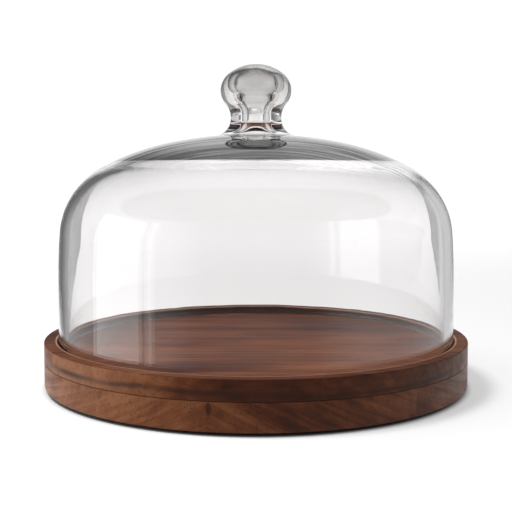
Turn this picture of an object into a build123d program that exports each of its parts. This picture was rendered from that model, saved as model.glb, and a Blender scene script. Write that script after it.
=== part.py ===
"""Cheese dome: a clear glass bell with a glass knob, standing in the recess of a round wooden base."""

import os
from math import asin, atan, degrees, radians, sin

from build123d import *

# Millimetres. The origin is on the axis, on the surface that the base stands on, and +Z is up.

# Base: a round tray of two layers of edge-glued boards, on four rubber feet
BASE_RADIUS = 150.0
BASE_HEIGHT = 33.0
FOOT_HEIGHT = 2.0
LAYER_JOINT_HEIGHT = 20.0
BOARD_WIDTH = 90.0
TOP_FIRST_JOINT_Y = -70.0
BOTTOM_FIRST_JOINT_Y = TOP_FIRST_JOINT_Y - BOARD_WIDTH / 2
TOP_EDGE_ROUND = 2.0
BOTTOM_EDGE_ROUND = 2.0
BOARD_NAMES = ("front", "inner_front", "inner_back", "back")

# Recess that the bell's lip stands in
RECESS_RADIUS = 141.2
RECESS_DEPTH = 6.0
RECESS_EDGE_ROUND = 1.5

# Rubber feet
FOOT_RADIUS = 7.0
FOOT_EDGE = 0.5
FOOT_CIRCLE_RADIUS = 118.0
FOOT_START_ANGLE = 45.0

# Glass bell: tangent arcs from the crown down to a straight skirt, each as (radius, angle where it ends)
BELL_RADIUS = 140.0
BELL_TOP_HEIGHT = 177.0
BELL_WALL = 6.0
LIP_ROUND = 2.2
CROWN_ARC = (305.0, 11.6)
HAUNCH_ARC = (173.0, 28.6)
SHOULDER_ARC = (56.4, 86.0)
UPRIGHT_ANGLE = 90.0

# Glass knob: a round head on a waisted neck that flares out onto the crown
HEAD_RADIUS = 25.4
HEAD_HEIGHT = 208.0
HEAD_RISE = 18.8
BROW_RADIUS = 15.0
CHEEK_RADIUS = 14.5
CHEEK_ANGLE = 37.0
WAIST_RADIUS = 18.2
WAIST_HEIGHT = 188.9
WAIST_ROUND = 14.0
FLARE_ROUND = 13.0
FLARE_ANGLE = 70.0


def flank_radius():
    """Radius of the last arc, the one that brings the bell's outline upright at the skirt."""
    reach, start = 0.0, 0.0
    for radius, end in (CROWN_ARC, HAUNCH_ARC, SHOULDER_ARC):
        reach += radius * (sin(radians(end)) - sin(radians(start)))
        start = end
    return (BELL_RADIUS - reach) / (1 - sin(radians(start)))


def bell_arcs(inset):
    """Draw the bell's arcs, moved in by inset, and return where their line starts and ends."""
    first = (0, BELL_TOP_HEIGHT - inset)
    point, direction, angle = first, (1, 0), 0.0
    for radius, end_angle in (CROWN_ARC, HAUNCH_ARC, SHOULDER_ARC, (flank_radius(), UPRIGHT_ANGLE)):
        arc = JernArc(start=point, tangent=direction, radius=radius - inset, arc_size=angle - end_angle)
        point, direction, angle = arc @ 1, arc % 1, end_angle
    return first, point


def cap_arc():
    """Radius and turn of the arc over the top of the knob, which follows on from the brow's arc."""
    inset = HEAD_RADIUS - BROW_RADIUS
    turn = 2 * atan((HEAD_RISE - BROW_RADIUS) / inset)
    return BROW_RADIUS + inset / sin(turn), degrees(turn)


def flare_height():
    """Height where the neck's flare begins, so that its arc would end tangent to the crown."""
    crown_radius = CROWN_ARC[0]
    centre_distance = crown_radius + FLARE_ROUND
    centre_rise = (centre_distance**2 - (WAIST_RADIUS + FLARE_ROUND) ** 2) ** 0.5
    return BELL_TOP_HEIGHT - crown_radius + centre_rise


def board_spans(first_joint):
    """The front and back of each board in a layer, counted from the front of the base."""
    joints = [first_joint + i * BOARD_WIDTH for i in range(len(BOARD_NAMES) - 1)]
    return list(zip([-BASE_RADIUS] + joints, joints + [BASE_RADIUS]))


os.makedirs("parts", exist_ok=True)
recess_floor = BASE_HEIGHT - RECESS_DEPTH

# The two layers of the base as they are turned, before they are told apart into boards
with BuildPart() as bottom_layer:
    with BuildSketch(Plane.XZ):
        with Locations((0, FOOT_HEIGHT)):
            Rectangle(BASE_RADIUS, LAYER_JOINT_HEIGHT - FOOT_HEIGHT, align=Align.MIN)
        fillet(vertices().group_by(Axis.Y)[0].sort_by(Axis.X)[-1], BOTTOM_EDGE_ROUND)
    revolve(axis=Axis.Z)

with BuildPart() as top_layer:
    with BuildSketch(Plane.XZ):
        with Locations((0, LAYER_JOINT_HEIGHT)):
            Rectangle(BASE_RADIUS, BASE_HEIGHT - LAYER_JOINT_HEIGHT, align=Align.MIN)
        with Locations((0, recess_floor)):
            Rectangle(RECESS_RADIUS, RECESS_DEPTH, align=Align.MIN, mode=Mode.SUBTRACT)
        fillet(vertices().group_by(Axis.Y)[-1].sort_by(Axis.X)[0], RECESS_EDGE_ROUND)
        fillet(vertices().group_by(Axis.Y)[-1].sort_by(Axis.X)[-1], TOP_EDGE_ROUND)
    revolve(axis=Axis.Z)

# Boards of the base
for layer, layer_name, first_joint in (
    (bottom_layer, "bottom", BOTTOM_FIRST_JOINT_Y),
    (top_layer, "top", TOP_FIRST_JOINT_Y),
):
    for board_name, (near_y, far_y) in zip(BOARD_NAMES, board_spans(first_joint)):
        with BuildPart() as board:
            add(layer.part)
            with Locations((0, (near_y + far_y) / 2, 0)):
                Box(2 * BASE_RADIUS, far_y - near_y, 2 * BASE_HEIGHT, mode=Mode.INTERSECT)
        board.part.label = f"{layer_name}_board_{board_name}"
        export_step(board.part, f"parts/{board.part.label}.step")

# Rubber feet under the base
foot_names = ("back_right", "back_left", "front_left", "front_right")
foot_places = PolarLocations(FOOT_CIRCLE_RADIUS, len(foot_names), FOOT_START_ANGLE)
for name, place in zip(foot_names, foot_places):
    with BuildPart() as foot:
        with BuildSketch(Plane.XY):
            with Locations(place.position):
                Circle(FOOT_RADIUS)
        extrude(amount=FOOT_HEIGHT)
        chamfer(foot.edges().group_by(Axis.Z)[0], FOOT_EDGE)
    foot.part.label = f"foot_{name}"
    export_step(foot.part, f"parts/{foot.part.label}.step")

# Glass bell
with BuildPart() as glass_dome:
    with BuildSketch(Plane.XZ):
        with BuildLine():
            outer_top, outer_end = bell_arcs(0)
            inner_top, inner_end = bell_arcs(BELL_WALL)
            Line(outer_top, inner_top)
            lip = [(BELL_RADIUS, recess_floor), (BELL_RADIUS - BELL_WALL, recess_floor)]
            Polyline(outer_end, *lip, inner_end)
        make_face()
    revolve(axis=Axis.Z)
    fillet(glass_dome.edges().group_by(Axis.Z)[0], LIP_ROUND)
glass_dome.part.label = "glass_dome"
export_step(glass_dome.part, "parts/glass_dome.step")

# Glass knob, fused to the crown
with BuildPart() as glass_knob:
    with BuildSketch(Plane.XZ):
        with BuildLine():
            cap_radius, cap_turn = cap_arc()
            widest = (HEAD_RADIUS, HEAD_HEIGHT)
            brow = JernArc(widest, (0, 1), BROW_RADIUS, arc_size=UPRIGHT_ANGLE - cap_turn)
            cap = JernArc(brow @ 1, brow % 1, cap_radius, arc_size=cap_turn)
            cheek = JernArc(widest, (0, -1), CHEEK_RADIUS, arc_size=-CHEEK_ANGLE)
            waist = JernArc((WAIST_RADIUS, WAIST_HEIGHT), (0, 1), WAIST_ROUND, arc_size=-CHEEK_ANGLE)
            flare = JernArc((WAIST_RADIUS, flare_height()), (0, -1), FLARE_ROUND, arc_size=FLARE_ANGLE)
            weld_angle = degrees(asin((flare @ 1).X / CROWN_ARC[0]))
            weld = JernArc((0, BELL_TOP_HEIGHT), (1, 0), CROWN_ARC[0], arc_size=-weld_angle)
            Line(cheek @ 1, waist @ 1)
            Line(waist @ 0, flare @ 0)
            Line(flare @ 1, weld @ 1)
            Line(weld @ 0, cap @ 1)
        make_face()
    revolve(axis=Axis.Z)
glass_knob.part.label = "glass_knob"
export_step(glass_knob.part, "parts/glass_knob.step")
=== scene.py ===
"""Looks of the cheese dome: a clear glass bell and knob on a round base of dark oiled wood."""

from math import asin, atan, atan2, ceil, cos, degrees, hypot, pi, radians, sin, sqrt

import bmesh
import bpy
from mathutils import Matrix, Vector

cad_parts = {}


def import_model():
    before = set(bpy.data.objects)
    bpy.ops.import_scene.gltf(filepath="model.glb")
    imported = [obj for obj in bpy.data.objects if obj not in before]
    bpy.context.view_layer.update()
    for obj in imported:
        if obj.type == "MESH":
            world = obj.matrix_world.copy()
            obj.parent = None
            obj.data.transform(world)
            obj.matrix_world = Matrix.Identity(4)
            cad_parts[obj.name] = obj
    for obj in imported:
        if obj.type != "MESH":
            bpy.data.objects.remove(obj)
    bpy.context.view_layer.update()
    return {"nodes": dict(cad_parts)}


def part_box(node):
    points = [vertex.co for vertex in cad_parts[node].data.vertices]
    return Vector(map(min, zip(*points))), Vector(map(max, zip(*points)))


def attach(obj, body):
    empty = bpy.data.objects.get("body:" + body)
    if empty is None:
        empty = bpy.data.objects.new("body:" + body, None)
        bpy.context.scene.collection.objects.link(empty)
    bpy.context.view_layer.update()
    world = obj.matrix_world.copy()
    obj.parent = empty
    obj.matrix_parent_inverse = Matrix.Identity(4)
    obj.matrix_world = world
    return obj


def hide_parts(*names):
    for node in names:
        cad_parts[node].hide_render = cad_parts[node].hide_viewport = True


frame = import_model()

MM = 0.001

# Places from the frame
bell_low, bell_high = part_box("glass_dome")
knob_low, knob_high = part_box("glass_knob")
top_low, top_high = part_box("top_board_inner_front")
bottom_low, bottom_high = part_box("bottom_board_inner_back")
BASE_RADIUS = top_high[0]
BASE_TOP = top_high[2]
LAYER_JOINT = top_low[2]
BASE_BOTTOM = bottom_low[2]
BELL_RADIUS = bell_high[0]
BELL_TOP = bell_high[2]
TRAY_FLOOR = bell_low[2]
KNOB_TOP = knob_high[2]

# Bell: (radius, angle from level where the arc ends), from the crown down
BELL_ARCS = ((305.0 * MM, 11.6), (173.0 * MM, 28.6), (56.4 * MM, 86.0))
SKIRT_WALL = 6.0 * MM
CROWN_WALL = 9.6 * MM
THICK_CROWN_ANGLE = 25.0
LIP_ROUND = 2.6 * MM

# Outside of the knob, and the hollow in it, which opens into the bell
KNOB = {
    "radius": 25.4 * MM,
    "rise": 18.8 * MM,
    "brow": 15.0 * MM,
    "cheek": 14.5 * MM,
    "cheek_angle": 37.0,
    "neck": 18.2 * MM,
    "neck_round": 14.0 * MM,
    "neck_drop": 37.9 * MM,
    "flare_round": 13.0 * MM,
}
HOLLOW = {
    "radius": 16.0 * MM,
    "rise": 10.5 * MM,
    "brow": 7.5 * MM,
    "cheek": 8.0 * MM,
    "cheek_angle": 45.0,
    "neck": 7.2 * MM,
    "neck_round": 16.0 * MM,
    "neck_drop": 29.3 * MM,
    "flare_round": 16.0 * MM,
}
HOLLOW_TOP_WALL = 5.5 * MM

# Glass
GLASS_IOR = 1.5
BELL_TINT = (0.966, 0.957, 0.958)
KNOB_TINT = (0.735, 0.725, 0.72)
# Painted shade mixed into the glass where it is seen edge on, for the bell and for the knob
BELL_EDGE_PAINTED_SHADE = (0.42, 0.42, 0.42)
KNOB_EDGE_PAINTED_SHADE = (0.03, 0.03, 0.03)
LAMP_TINT = (0.97, 0.965, 0.965)
KNOB_TINT_DROPS = (46.0 * MM, 14.0 * MM)
BELL_EDGE_FACING = (0.80, 0.97)
KNOB_EDGE_FACING = (0.14, 0.88)
GLASS_RIPPLE = 0.05 * MM

# Base
RECESS_RADIUS = 141.2 * MM
TOP_EDGE_ROUND = 0.9 * MM
RECESS_EDGE_ROUND = 0.6 * MM
BOTTOM_EDGE_ROUND = 1.6 * MM
JOINT_GROOVE = 0.22 * MM
SUPPORT = 0.25 * MM

# Wood
DARK_WOOD = (0.020, 0.0045, 0.0022)
BROWN_WOOD = (0.066, 0.0155, 0.0050)
RED_WOOD = (0.120, 0.035, 0.0115)
PALE_WOOD = (0.205, 0.077, 0.030)
# Pale colour of the painted highlight on the recess's top edge
EDGE_HIGHLIGHT_WOOD = (0.34, 0.21, 0.14)
# Painted shade: how dark the base's top rim is made
RIM_PAINTED_SHADE = 0.74
BAND_HEIGHT = 24.5 * MM
BAND_SPREAD = 3.0 * MM
KNOT_X = -27.0 * MM
FAN_SLOPE = 0.5
# Where the painted light on the upright sides' left end fades out
LEFT_LIGHT_SPAN = (-80.0 * MM, -15.0 * MM)
TRAY_SPAN = (-130.0 * MM, 90.0 * MM)

# How the grain is stretched, how strongly its rings and streaks show, and how pale it is
STRAIGHT_GRAIN = {
    "rings": (0.06, 1, 1),
    "heart": (0, 0.31, 0.05),
    "heart_step": 0.013,
    "streaks": (4, 190, 190),
    "pores": (70, 900, 900),
    "ring_depth": 0.14,
    "streak_depth": 0.28,
    "shade": 0.05,
}
FIGURED_GRAIN = {
    "rings": (1, 0.15, 1),
    "heart": (-0.004, 0.15, 0.055),
    "heart_step": 0.0,
    "streaks": (26, 14, 300),
    "pores": (900, 60, 500),
    "ring_depth": 0.18,
    "streak_depth": 0.42,
    "shade": -0.04,
}

# Each board's own seed, shade and how much painted light brightens the upright side at its left end
BOARDS = {
    "top_board_front": (1.0, -0.03, 0.20),
    "top_board_inner_front": (2.0, 0.01, 0.12),
    "top_board_inner_back": (3.0, -0.02, 0.0),
    "top_board_back": (4.0, 0.0, 0.0),
    "bottom_board_front": (5.0, -0.02, 0.20),
    "bottom_board_inner_front": (6.0, 0.02, 0.17),
    "bottom_board_inner_back": (7.0, -0.02, 0.0),
    "bottom_board_back": (8.0, 0.01, 0.0),
}

# Mesh detail
TURN_STEPS = 360
BOARD_STEPS = 720
SHARP_ANGLE = 35.0
SAME_POINT = 1e-6
ON_AXIS = 1e-7

# Studio
FLOOR_NEAR = (-0.27, 0.125)
FLOOR_FAR = (1.5, 0.64)
FLOOR_SHADE = 0.36
FLOOR_GLOW = 0.49
FAR_GLOW = 0.22
FAR_GLOW_SPAN = (0.2, 1.4)
GLOW_EDGE = 4.0 * MM
BACKDROP_HEIGHT = 0.60
ROOM_LIGHT = 0.16
CEILING_LIGHT = 0.5
CEILING_START = 42.0
CEILING_FULL = 75.0
SIDE_LIGHT = 0.6
SIDE_START = 0.45
SIDE_FULL = 0.95
PANEL_DISTANCE = 1.1
CAMERA_DISTANCE = 0.643
CAMERA_HEIGHT = 0.1456
CAMERA_PITCH = 3.38
CAMERA_REACH = 50.0
LENS = 62.72
SENSOR = 36.0
SHIFT_Y = -0.0494


# ---------------------------------------------------------------- mesh

def arc(centre, radius, start, end, step=2.0):
    """Points (r, z) along an arc. Angles are in degrees, from the r axis towards z."""
    count = max(2, ceil(abs(end - start) / step))
    angles = [radians(start + (end - start) * i / count) for i in range(count + 1)]
    return [(centre[0] + radius * cos(a), centre[1] + radius * sin(a)) for a in angles]


def line(start, end, step):
    """Points (r, z) along a straight line, both ends included."""
    count = max(1, ceil(hypot(end[0] - start[0], end[1] - start[1]) / step))
    return [
        (start[0] + (end[0] - start[0]) * i / count, start[1] + (end[1] - start[1]) * i / count)
        for i in range(count + 1)
    ]


def clean(points):
    """The points without repeats."""
    kept = [points[0]]
    for p in points[1:]:
        if hypot(p[0] - kept[-1][0], p[1] - kept[-1][1]) > SAME_POINT:
            kept.append(p)
    return kept


def lathe(name, outline, steps=TURN_STEPS):
    """Turn a closed outline about the axis. Points on the axis become single vertices."""
    bm = bmesh.new()
    rings = []
    for r, z in clean(outline):
        if r < ON_AXIS:
            rings.append([bm.verts.new((0, 0, z))])
        else:
            turns = [2 * pi * i / steps for i in range(steps)]
            rings.append([bm.verts.new((r * cos(turn), r * sin(turn), z)) for turn in turns])
    pairs = list(zip(rings, rings[1:]))
    if len(rings[0]) > 1 and len(rings[-1]) > 1:
        pairs.append((rings[-1], rings[0]))
    for a, b in pairs:
        if len(a) == 1 and len(b) == 1:
            continue
        for i in range(steps):
            j = (i + 1) % steps
            corners = [a[i % len(a)], a[j % len(a)], b[j % len(b)], b[i % len(b)]]
            unique = list(dict.fromkeys(corners))
            bm.faces.new(unique)
    bmesh.ops.recalc_face_normals(bm, faces=bm.faces)
    for face in bm.faces:
        face.smooth = True
    mesh = bpy.data.meshes.new(name)
    bm.to_mesh(mesh)
    bm.free()
    piece = bpy.data.objects.new(name, mesh)
    bpy.context.collection.objects.link(piece)
    return piece


def ride_and_replace(piece, body, slot, *nodes):
    """Make a piece move with its body and stand for its CAD nodes, which it hides. The slot is not used."""
    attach(piece, body)
    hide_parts(*nodes)


# ---------------------------------------------------------------- shader nodes

def shader(name):
    """A new material with its Principled node and a way to add nodes."""
    material = bpy.data.materials.new(name)
    material.use_nodes = True
    tree = material.node_tree
    return material, tree, tree.nodes["Principled BSDF"]


def add(tree, kind, settings=None, **values):
    """A new shader node. Settings are its properties, and values are its inputs: constants or sockets."""
    node = tree.nodes.new("ShaderNode" + kind)
    for key, value in (settings or {}).items():
        setattr(node, key, value)
    for key, value in values.items():
        socket = node.inputs[int(key[1:])] if key[0] == "i" and key[1:].isdigit() else node.inputs[key]
        if isinstance(value, bpy.types.NodeSocket):
            tree.links.new(value, socket)
        else:
            socket.default_value = value
    return node


def calc(tree, operation, *values):
    """A sum on one or two numbers."""
    inputs = {f"i{i}": value for i, value in enumerate(values)}
    return add(tree, "Math", {"operation": operation}, **inputs).outputs[0]


def total(tree, *values):
    """All the values added up."""
    result = values[0]
    for value in values[1:]:
        result = calc(tree, "ADD", result, value)
    return result


def product(tree, *values):
    """All the values multiplied."""
    result = values[0]
    for value in values[1:]:
        result = calc(tree, "MULTIPLY", result, value)
    return result


def apart(tree, first, second):
    """How far two values are apart."""
    return calc(tree, "ABSOLUTE", calc(tree, "SUBTRACT", first, second))


def length(tree, vector):
    return add(tree, "VectorMath", {"operation": "LENGTH"}, i0=vector).outputs["Value"]


def stretch(tree, vector, scale, offset=(0, 0, 0)):
    """The vector scaled along each axis, then moved."""
    return add(tree, "Mapping", Vector=vector, Scale=scale, Location=offset).outputs[0]


def grain(tree, vector, detail=3.0, roughness=0.55, distortion=0.0):
    """Noise on stretched coordinates."""
    values = {"Scale": 1.0, "Detail": detail, "Roughness": roughness, "Distortion": distortion}
    return add(tree, "TexNoise", Vector=vector, **values).outputs["Fac"]


def remap(tree, value, low, high, to_low=0.0, to_high=1.0):
    """A smooth step from to_low where the value is low to to_high where it is high."""
    settings = {"interpolation_type": "SMOOTHSTEP"}
    values = {"From Min": low, "From Max": high, "To Min": to_low, "To Max": to_high}
    return add(tree, "MapRange", settings, Value=value, **values).outputs["Result"]


def blend(tree, amount, first, second, kind="MIX"):
    """Two colours mixed. An amount of 0 gives the first."""
    node = tree.nodes.new("ShaderNodeMix")
    node.data_type, node.blend_type = "RGBA", kind
    for socket, value in zip((node.inputs[0], node.inputs[6], node.inputs[7]), (amount, first, second)):
        if isinstance(value, bpy.types.NodeSocket):
            tree.links.new(value, socket)
        else:
            socket.default_value = value
    return node.outputs[2]


def ramp(tree, value, *stops):
    """A colour from stops, each a position and a colour."""
    node = add(tree, "ValToRGB", Fac=value)
    elements = node.color_ramp.elements
    while len(elements) < len(stops):
        elements.new(0.5)
    for element, (position, colour) in zip(elements, stops):
        element.position = position
        element.color = (*colour, 1)
    return node.outputs["Color"]


# ---------------------------------------------------------------- glass

def bell_line(start_angle, inset=lambda angle: 0.0):
    """Points down the bell from start_angle to where the skirt begins, moved in along the normal by inset."""
    starts = (0.0, BELL_ARCS[0][1], BELL_ARCS[1][1])
    reach = sum(
        radius * (sin(radians(end)) - sin(radians(start))) for (radius, end), start in zip(BELL_ARCS, starts)
    )
    flank = (BELL_RADIUS - reach) / (1 - sin(radians(BELL_ARCS[-1][1])))
    points, angle = [], 0.0
    corner = Vector((0.0, BELL_TOP))
    for radius, end in BELL_ARCS + ((flank, 90.0),):
        normal = Vector((sin(radians(angle)), cos(radians(angle))))
        centre = corner - radius * normal
        count = ceil((end - angle) / 0.75)
        for i in range(count + 1):
            a = angle + (end - angle) * i / count
            normal = Vector((sin(radians(a)), cos(radians(a))))
            if a >= start_angle - SAME_POINT:
                points.append(tuple(centre + (radius - inset(a)) * normal))
        corner = centre + radius * normal
        angle = end
    return points


def glass_wall(angle):
    """Thickness of the glass where the bell's outside leans by this angle from level."""
    return SKIRT_WALL + (CROWN_WALL - SKIRT_WALL) * max(0.0, 1 - angle / THICK_CROWN_ANGLE)


def turned_line(
    top, crown_radius, radius, rise, brow, cheek, cheek_angle, neck, neck_round, neck_drop, flare_round
):
    """Points down a round head on a waisted neck that flares out and ends tangent to the crown.

    The head's widest place is rise below its top, and the neck's narrow part starts neck_drop below it.
    Returns the points and the angle on the crown where they end.
    """
    head_height = top - rise
    inset = radius - brow
    cap_turn = 2 * atan((rise - brow) / inset)
    cap_radius = brow + inset / sin(cap_turn)
    cap_turn = degrees(cap_turn)
    crown_z = BELL_TOP - BELL_ARCS[0][0]
    flare_r = neck + flare_round
    flare_z = crown_z + sqrt((crown_radius + flare_round) ** 2 - flare_r**2)
    flare_end = degrees(atan2(crown_z - flare_z, -flare_r)) + 360
    points = arc((0.0, top - cap_radius), cap_radius, 90, 90 - cap_turn)
    points += arc((radius - brow, head_height), brow, 90 - cap_turn, 0)
    points += arc((radius - cheek, head_height), cheek, 0, -cheek_angle)
    waist = arc((neck + neck_round, top - neck_drop), neck_round, 180 - cheek_angle, 180)
    flare = arc((flare_r, flare_z), flare_round, 180, flare_end)
    points += line(points[-1], waist[0], MM) + waist + line(waist[-1], flare[0], MM) + flare
    return points, degrees(asin(flare_r / (crown_radius + flare_round)))


def glass_outline():
    """Closed outline of the fused bell and knob: down the outside, round the lip and up the inside."""
    crown_radius = BELL_ARCS[0][0]
    knob, knob_end = turned_line(KNOB_TOP, crown_radius, **KNOB)
    hollow, hollow_end = turned_line(KNOB_TOP - HOLLOW_TOP_WALL, crown_radius - CROWN_WALL, **HOLLOW)
    outside = knob + bell_line(knob_end)
    inside = (hollow + bell_line(hollow_end, glass_wall))[::-1]
    lip_z = TRAY_FLOOR + LIP_ROUND
    inner_r = BELL_RADIUS - SKIRT_WALL
    outer_lip = arc((BELL_RADIUS - LIP_ROUND, lip_z), LIP_ROUND, 0, -90, 10)
    inner_lip = arc((inner_r + LIP_ROUND, lip_z), LIP_ROUND, -90, -180, 10)
    outer_skirt = line(outside[-1], outer_lip[0], 4 * MM)
    inner_skirt = line(inner_lip[-1], inside[0], 4 * MM)
    return outside + outer_skirt + outer_lip + inner_lip + inner_skirt + inside


def glass_material():
    """Clear soda glass: a little rippled and greyer in the thick knob, with painted shade darkening it where
    it is seen edge on.

    Lamps shine through it.
    """
    material, tree, surface = shader("clear_glass")
    surface.inputs["Roughness"].default_value = 0.0
    surface.inputs["IOR"].default_value = GLASS_IOR
    surface.inputs["Transmission Weight"].default_value = 1.0
    place = tree.nodes.new("ShaderNodeTexCoord").outputs["Object"]

    height = add(tree, "SeparateXYZ", Vector=place).outputs["Z"]
    start_drop, full_drop = KNOB_TINT_DROPS
    thick = remap(tree, height, KNOB_TOP - start_drop, KNOB_TOP - full_drop)
    tint = blend(tree, thick, (*BELL_TINT, 1), (*KNOB_TINT, 1))
    # Painted shade: the glass is darkened where it is seen edge on, darkest round the knob.
    edge_painted_shade = blend(tree, thick, (*BELL_EDGE_PAINTED_SHADE, 1), (*KNOB_EDGE_PAINTED_SHADE, 1))
    facing = add(tree, "LayerWeight", Blend=0.5).outputs["Facing"]
    starts, fulls = zip(BELL_EDGE_FACING, KNOB_EDGE_FACING)
    edge = remap(tree, facing, remap(tree, thick, 0.0, 1.0, *starts), remap(tree, thick, 0.0, 1.0, *fulls))
    tree.links.new(blend(tree, edge, tint, edge_painted_shade), surface.inputs["Base Color"])

    ripple = grain(tree, stretch(tree, place, (28, 28, 60)), 2.0, 0.45, 0.4)
    bump = add(tree, "Bump", Strength=1.0, Distance=GLASS_RIPPLE, Height=ripple)
    tree.links.new(bump.outputs["Normal"], surface.inputs["Normal"])

    path = tree.nodes.new("ShaderNodeLightPath")
    clear = add(tree, "BsdfTransparent", Color=(*LAMP_TINT, 1))
    mix = add(tree, "MixShader", i0=path.outputs["Is Shadow Ray"], i1=surface.outputs[0], i2=clear.outputs[0])
    tree.links.new(mix.outputs[0], tree.nodes["Material Output"].inputs["Surface"])
    return material


cover = lathe("glass_cover", glass_outline())
cover.data.materials.append(glass_material())
ride_and_replace(cover, "cover", "clear_glass", "glass_dome", "glass_knob")


# ---------------------------------------------------------------- wood

def ring_lines(tree, place, offset, heart, kind, wobble):
    """Growth rings about a heart line, swaying along the board."""
    sway = grain(tree, stretch(tree, place, (7, 16, 16), offset), 2.0)
    distance = length(tree, stretch(tree, place, kind["rings"], heart))
    bent = total(tree, distance, product(tree, sway, 0.018), product(tree, wobble, 0.003))
    values = {"Scale": 330.0, "Detail": 3.0, "Roughness": 0.6}
    return add(tree, "TexNoise", {"noise_dimensions": "1D"}, W=bent, **values).outputs["Fac"]


def fanned(tree, x, y, z):
    """Coordinates whose level lines rise to the knot from both sides."""
    spread = apart(tree, x, KNOT_X)
    risen = total(tree, z, product(tree, spread, FAN_SLOPE))
    return add(tree, "CombineXYZ", X=x, Y=y, Z=risen).outputs[0]


def with_knot(tree, colour, place, wobble):
    """A small dark knot, low on the front."""
    scale = (1.8, 0.1, 0.6)
    from_knot = length(tree, stretch(tree, place, scale, (-KNOT_X * scale[0], 0.015, -0.0093)))
    rough = product(tree, calc(tree, "SUBTRACT", wobble, 0.5), 0.006)
    amount = remap(tree, total(tree, from_knot, rough), 0.0004, 0.0030, 0.85, 0.0)
    return blend(tree, amount, colour, (*DARK_WOOD, 1))


def with_band(tree, colour, place, z, offset):
    """A drifting, broken dark band round the side."""
    drift = grain(tree, stretch(tree, place, (11, 3, 3), offset), 1.0)
    drift = product(tree, calc(tree, "SUBTRACT", drift, 0.5), 0.010)
    from_band = apart(tree, total(tree, z, drift), BAND_HEIGHT)
    patches = remap(tree, grain(tree, stretch(tree, place, (18, 6, 60), offset), 2.0), 0.35, 0.6)
    amount = product(tree, remap(tree, from_band, 0.0, BAND_SPREAD, 0.9, 0.0), patches)
    return blend(tree, amount, colour, (*DARK_WOOD, 1))


def with_edges(tree, colour, x, y, z):
    """Painted shade on the top rim, a dark glue line, painted shade in the recess's wall and on the tray
    floor beside it, and a painted highlight along the recess's top edge.
    """
    # Painted shade: the top rim of the base is darkened.
    rim = remap(tree, z, BASE_TOP - 1.0 * MM, BASE_TOP - 0.3 * MM, 1.0, RIM_PAINTED_SHADE)
    grey = add(tree, "CombineColor", i0=rim, i1=rim, i2=rim).outputs[0]
    colour = blend(tree, 1.0, colour, grey, "MULTIPLY")
    seam = remap(tree, apart(tree, z, LAYER_JOINT), 0.1 * MM, 0.5 * MM, 0.55, 0.0)
    colour = blend(tree, seam, colour, (*DARK_WOOD, 1))

    radius = length(tree, add(tree, "CombineXYZ", X=x, Y=y).outputs[0])
    high = remap(tree, z, BASE_TOP - 1.2 * MM, BASE_TOP - 0.4 * MM)
    # Painted shade: the recess's wall and the tray floor beside it are darkened.
    inner = remap(tree, radius, RECESS_RADIUS - 2.4 * MM, RECESS_RADIUS - 0.8 * MM, 0.0, 0.9)
    outer = remap(tree, radius, RECESS_RADIUS + 0.4 * MM, RECESS_RADIUS + 1.2 * MM, 1.0, 0.0)
    recess_painted_shade = product(tree, inner, outer, calc(tree, "SUBTRACT", 1.0, high))
    colour = blend(tree, recess_painted_shade, colour, (*DARK_WOOD, 1))
    # Painted highlight: a pale line along the recess's top edge.
    from_edge = apart(tree, radius, RECESS_RADIUS + 0.4 * MM)
    edge_painted_highlight = product(tree, remap(tree, from_edge, 0.3 * MM, 1.1 * MM, 0.75, 0.0), high)
    return blend(tree, edge_painted_highlight, colour, (*EDGE_HIGHLIGHT_WOOD, 1))


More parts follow.
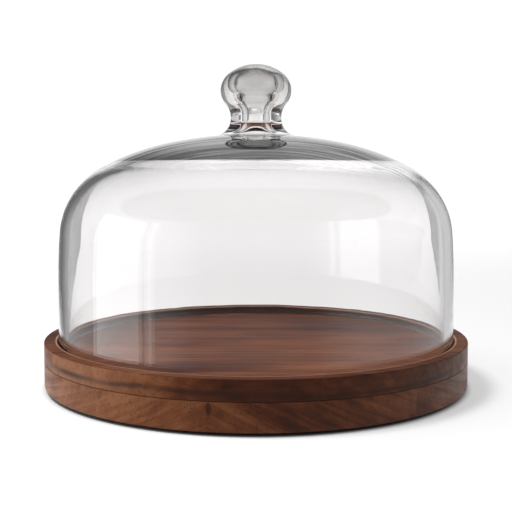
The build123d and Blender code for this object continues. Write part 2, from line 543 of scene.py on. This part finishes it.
def wood(name, seed, shade, left_painted_light):
    """Oiled dark wood with its grain along X. The bottom boards have a figure that fans out from a knot."""
    material, tree, surface = shader(name)
    figured = name.startswith("bottom")
    kind = FIGURED_GRAIN if figured else STRAIGHT_GRAIN
    coordinates = tree.nodes.new("ShaderNodeTexCoord")
    place = coordinates.outputs["Object"]
    x, y, z = add(tree, "SeparateXYZ", Vector=place).outputs
    up = add(tree, "SeparateXYZ", Vector=coordinates.outputs["Normal"]).outputs["Z"]
    level = remap(tree, up, 0.3, 0.9)
    upright = remap(tree, up, 0.3, 0.9, 1.0, 0.0)
    offset = (seed * 1.37, seed * 0.71, seed * 0.53)
    heart_x, heart_y, heart_z = kind["heart"]
    heart = (heart_x, heart_y + seed * kind["heart_step"], heart_z)

    wobble = grain(tree, stretch(tree, place, (60, 60, 60), offset), 2.0)
    rings = ring_lines(tree, place, offset, heart, kind, wobble)
    along = fanned(tree, x, y, z) if figured else place
    streaks = grain(tree, stretch(tree, along, kind["streaks"], offset), 4.0, 0.6, 0.3)
    broad = grain(tree, stretch(tree, place, (9, 26, 40), offset), 2.0)
    curl = grain(tree, stretch(tree, place, (95, 40, 32), offset), 3.0, 0.6, 0.6)
    tone = total(
        tree,
        product(tree, rings, kind["ring_depth"]),
        product(tree, streaks, kind["streak_depth"]),
        product(tree, broad, 0.58),
        shade + kind["shade"],
        # Painted light: the upright sides are lighter towards the left end.
        product(tree, remap(tree, x, *LEFT_LIGHT_SPAN, left_painted_light, 0.0), upright),
        product(tree, calc(tree, "SUBTRACT", curl, 0.5), 0.22, upright),
    )
    if not figured:
        tone = total(tree, tone, product(tree, remap(tree, y, *TRAY_SPAN, 0.07, -0.03), level))
    colour = ramp(tree, tone, (0.34, DARK_WOOD), (0.50, BROWN_WOOD), (0.62, RED_WOOD), (0.80, PALE_WOOD))

    pores = grain(tree, stretch(tree, place, kind["pores"], offset), 2.0, 0.6)
    pores = remap(tree, pores, 0.56, 0.72, 0.0, 0.55)
    colour = blend(tree, pores, colour, (*DARK_WOOD, 1))
    colour = with_knot(tree, colour, place, wobble) if figured else with_band(tree, colour, place, z, offset)
    tree.links.new(with_edges(tree, colour, x, y, z), surface.inputs["Base Color"])

    satin = total(tree, remap(tree, streaks, 0.3, 0.7, 0.47, 0.35), product(tree, level, 0.26))
    tree.links.new(satin, surface.inputs["Roughness"])
    surface.inputs["Specular IOR Level"].default_value = 0.24
    surface.inputs["Specular Tint"].default_value = (1.0, 0.74, 0.62, 1)
    relief = calc(tree, "SUBTRACT", streaks, product(tree, pores, 0.8))
    bump = add(tree, "Bump", Strength=0.35, Distance=0.2 * MM, Height=relief)
    tree.links.new(bump.outputs["Normal"], surface.inputs["Normal"])
    return material


# ---------------------------------------------------------------- boards

def supported(outline):
    """The outline with an extra point near both ends of every long straight, so that shading stays flat."""
    points = []
    for start, end in zip(outline, outline[1:] + outline[:1]):
        points.append(start)
        reach = hypot(end[0] - start[0], end[1] - start[1])
        if reach > 4 * SUPPORT:
            for part in (SUPPORT / reach, 1 - SUPPORT / reach):
                points.append((start[0] + (end[0] - start[0]) * part, start[1] + (end[1] - start[1]) * part))
    return points


def bottom_outline():
    """Half section of the bottom layer, from the axis out and back."""
    edge = BASE_RADIUS - BOTTOM_EDGE_ROUND
    points = [(0.0, BASE_BOTTOM)]
    points += arc((edge, BASE_BOTTOM + BOTTOM_EDGE_ROUND), BOTTOM_EDGE_ROUND, -90, 0, 10)
    points += [(BASE_RADIUS, LAYER_JOINT - JOINT_GROOVE), (BASE_RADIUS - JOINT_GROOVE, LAYER_JOINT)]
    return points + [(0.0, LAYER_JOINT)]


def top_outline():
    """Half section of the top layer with its recess, from the axis out and back."""
    edge = BASE_RADIUS - TOP_EDGE_ROUND
    lip = RECESS_RADIUS + RECESS_EDGE_ROUND
    points = [(0.0, LAYER_JOINT)]
    points += [(BASE_RADIUS - JOINT_GROOVE, LAYER_JOINT), (BASE_RADIUS, LAYER_JOINT + JOINT_GROOVE)]
    points += arc((edge, BASE_TOP - TOP_EDGE_ROUND), TOP_EDGE_ROUND, 0, 90, 10)
    points += arc((lip, BASE_TOP - RECESS_EDGE_ROUND), RECESS_EDGE_ROUND, 90, 180, 10)
    return points + [(RECESS_RADIUS, TRAY_FLOOR), (0.0, TRAY_FLOOR)]


def board(node, outline, slot, material):
    """Turn a whole layer, then saw out the board between its CAD solid's front and back."""
    low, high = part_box(node)
    piece = lathe("wood_" + node, supported(outline), BOARD_STEPS)
    bm = bmesh.new()
    bm.from_mesh(piece.data)
    for y, outward in ((low[1], -1), (high[1], 1)):
        if abs(y) > BASE_RADIUS - MM:
            continue
        geometry = bm.verts[:] + bm.edges[:] + bm.faces[:]
        plane = {"plane_co": (0, y, 0), "plane_no": (0, outward, 0)}
        cut = bmesh.ops.bisect_plane(bm, geom=geometry, clear_outer=True, **plane)
        rim = [e for e in cut["geom_cut"] if isinstance(e, bmesh.types.BMEdge)]
        bmesh.ops.holes_fill(bm, edges=rim, sides=0)
    bmesh.ops.recalc_face_normals(bm, faces=bm.faces)
    bm.to_mesh(piece.data)
    bm.free()
    piece.data.set_sharp_from_angle(angle=radians(SHARP_ANGLE))
    piece.data.materials.append(material)
    ride_and_replace(piece, "base", slot, node)


for node, (seed, shade, left_painted_light) in BOARDS.items():
    layer = node.split("_")[0]
    outline = bottom_outline() if layer == "bottom" else top_outline()
    board(node, outline, layer + "_wood", wood(node, seed, shade, left_painted_light))


# ---------------------------------------------------------------- feet

def rubber():
    """Black rubber, a little mottled."""
    material, tree, surface = shader("foot_rubber")
    place = tree.nodes.new("ShaderNodeTexCoord").outputs["Object"]
    mottle = grain(tree, stretch(tree, place, (500, 500, 500)))
    colour = ramp(tree, mottle, (0.35, (0.010, 0.010, 0.011)), (0.65, (0.028, 0.027, 0.026)))
    tree.links.new(colour, surface.inputs["Base Color"])
    tree.links.new(remap(tree, mottle, 0.3, 0.7, 0.62, 0.8), surface.inputs["Roughness"])
    bump = add(tree, "Bump", Strength=0.4, Distance=0.1 * MM, Height=mottle)
    tree.links.new(bump.outputs["Normal"], surface.inputs["Normal"])
    return material


foot_finish = rubber()
for node, piece in frame["nodes"].items():
    if node.startswith("foot"):
        for slot in piece.material_slots:
            slot.material = foot_finish


# ---------------------------------------------------------------- studio

def floor():
    """A pale floor that just fills the view and glows beyond the base, with no glow under the base: a painted
    shadow there.
    """
    bm = bmesh.new()
    (near_y, near_x), (far_y, far_x) = FLOOR_NEAR, FLOOR_FAR
    corners = [(-near_x, near_y), (near_x, near_y), (far_x, far_y), (-far_x, far_y)]
    bm.faces.new([bm.verts.new((x, y, 0)) for x, y in corners])
    mesh = bpy.data.meshes.new("floor")
    bm.to_mesh(mesh)
    bm.free()
    piece = bpy.data.objects.new("floor", mesh)
    bpy.context.collection.objects.link(piece)
    material, tree, surface = shader("floor")
    surface.inputs["Base Color"].default_value = (FLOOR_SHADE, FLOOR_SHADE, FLOOR_SHADE, 1)
    surface.inputs["Roughness"].default_value = 1.0
    surface.inputs["Specular IOR Level"].default_value = 0.0
    surface.inputs["Emission Color"].default_value = (1, 1, 1, 1)
    place = tree.nodes.new("ShaderNodeTexCoord").outputs["Object"]
    # Painted shadow: the glow fades out at the base's edge and stops under it.
    painted_shadow_span = (BASE_RADIUS - GLOW_EDGE, BASE_RADIUS + GLOW_EDGE)
    glow = remap(tree, length(tree, place), *painted_shadow_span, 0.0, FLOOR_GLOW)
    away = add(tree, "SeparateXYZ", Vector=place).outputs["Y"]
    glow = total(tree, glow, remap(tree, away, *FAR_GLOW_SPAN, 0.0, FAR_GLOW))
    tree.links.new(glow, surface.inputs["Emission Strength"])
    piece.data.materials.append(material)


def camera():
    data = bpy.data.cameras.new("camera")
    data.lens = LENS
    data.sensor_width = SENSOR
    data.shift_y = SHIFT_Y
    data.clip_end = CAMERA_REACH
    piece = bpy.data.objects.new("camera", data)
    bpy.context.collection.objects.link(piece)
    piece.location = (0, -CAMERA_DISTANCE, CAMERA_HEIGHT)
    piece.rotation_euler = (radians(90 - CAMERA_PITCH), 0, 0)
    bpy.context.scene.camera = piece


def world():
    """A room that is dim ahead and behind, lighter to both sides and overhead."""
    data = bpy.data.worlds.new("studio")
    data.use_nodes = True
    tree = data.node_tree
    background = tree.nodes["Background"]
    background.inputs["Color"].default_value = (1, 1, 1, 1)
    place = tree.nodes.new("ShaderNodeTexCoord")
    x, y, z = add(tree, "SeparateXYZ", Vector=place.outputs["Generated"]).outputs
    ceiling = (sin(radians(CEILING_START)), sin(radians(CEILING_FULL)))
    overhead = remap(tree, z, *ceiling, ROOM_LIGHT, CEILING_LIGHT)
    beside = remap(tree, calc(tree, "ABSOLUTE", x), SIDE_START, SIDE_FULL, 0.0, SIDE_LIGHT)
    tree.links.new(total(tree, overhead, beside), background.inputs["Strength"])
    bpy.context.scene.world = data


def uneven(tree):
    """Light on the upper wall: soft level stripes that fade to the sides and the top."""
    place = tree.nodes.new("ShaderNodeTexCoord").outputs["Object"]
    x, y, z = add(tree, "SeparateXYZ", Vector=place).outputs
    sides = remap(tree, calc(tree, "ABSOLUTE", x), 0.2, 0.5, 1.0, 0.1)
    rise = product(tree, remap(tree, y, -0.5, 0.1, 1.0, 1.5), remap(tree, y, 0.22, 0.42, 1.0, 0.15))
    stripes = remap(tree, grain(tree, stretch(tree, place, (2.5, 20, 1)), 3.0), 0.33, 0.67, 0.5, 1.45)
    return product(tree, sides, rise, stripes)


def card(name, centre, facing, width, height, strength, pattern=None):
    """A flat glowing sheet, part of the studio. A pattern varies its strength."""
    bm = bmesh.new()
    bmesh.ops.create_grid(bm, x_segments=1, y_segments=1, size=0.5)
    mesh = bpy.data.meshes.new(name)
    bm.to_mesh(mesh)
    bm.free()
    piece = bpy.data.objects.new(name, mesh)
    bpy.context.collection.objects.link(piece)
    piece.location = centre
    piece.scale = (width, height, 1)
    piece.rotation_euler = Vector(facing).to_track_quat("Z", "Y").to_euler()
    material, tree, surface = shader(name)
    surface.inputs["Base Color"].default_value = (0, 0, 0, 1)
    surface.inputs["Emission Color"].default_value = (1, 1, 1, 1)
    surface.inputs["Emission Strength"].default_value = strength
    if pattern:
        tree.links.new(product(tree, pattern(tree), strength), surface.inputs["Emission Strength"])
    piece.data.materials.append(material)


def polar(azimuth, distance, height):
    """A place about the axis. Azimuth 0 is towards the camera, and 90 is to its left."""
    a = radians(azimuth)
    return (-distance * sin(a), -distance * cos(a), height)


def panel(name, azimuth, width, low, high, strength):
    """An upright glowing panel that faces the object, for the glass to mirror."""
    x, y, z = polar(azimuth, PANEL_DISTANCE, (low + high) / 2)
    card(name, (x, y, z), (-x, -y, 0), width, high - low, strength)


def lamp(name, place, target, size, power):
    """A soft square lamp that only gives light: it isn't seen in the glass."""
    data = bpy.data.lights.new(name, "AREA")
    data.shape = "RECTANGLE"
    data.size = data.size_y = size
    data.energy = power
    piece = bpy.data.objects.new(name, data)
    bpy.context.collection.objects.link(piece)
    piece.location = place
    piece.rotation_euler = (Vector(target) - Vector(place)).to_track_quat("-Z", "Y").to_euler()
    piece.visible_camera = piece.visible_glossy = piece.visible_transmission = False


floor()
camera()
world()
far_y, far_x = FLOOR_FAR
card("backdrop", (0, far_y, BACKDROP_HEIGHT / 2), (0, -1, 0), 2 * far_x, BACKDROP_HEIGHT, 1.03)
card("wall", (0.25, far_y + 0.05, 1.6), (0, -1, 0), 2.2, 2.0, 0.95, uneven)
panel("key", 79.4, 0.66, -0.6, 0.58, 2.0)
panel("key_strip", 56.6, 0.08, -0.6, 0.58, 1.6)
panel("fill", -63.6, 0.52, 0.0, 0.95, 0.6)
panel("rim", -138, 0.45, -0.4, 0.5, 0.6)
lamp("lamp", polar(70, 0.62, 1.2), (0, 0, 0.03), 0.45, 23.0)
bpy.context.scene.view_settings.view_transform = "Standard"
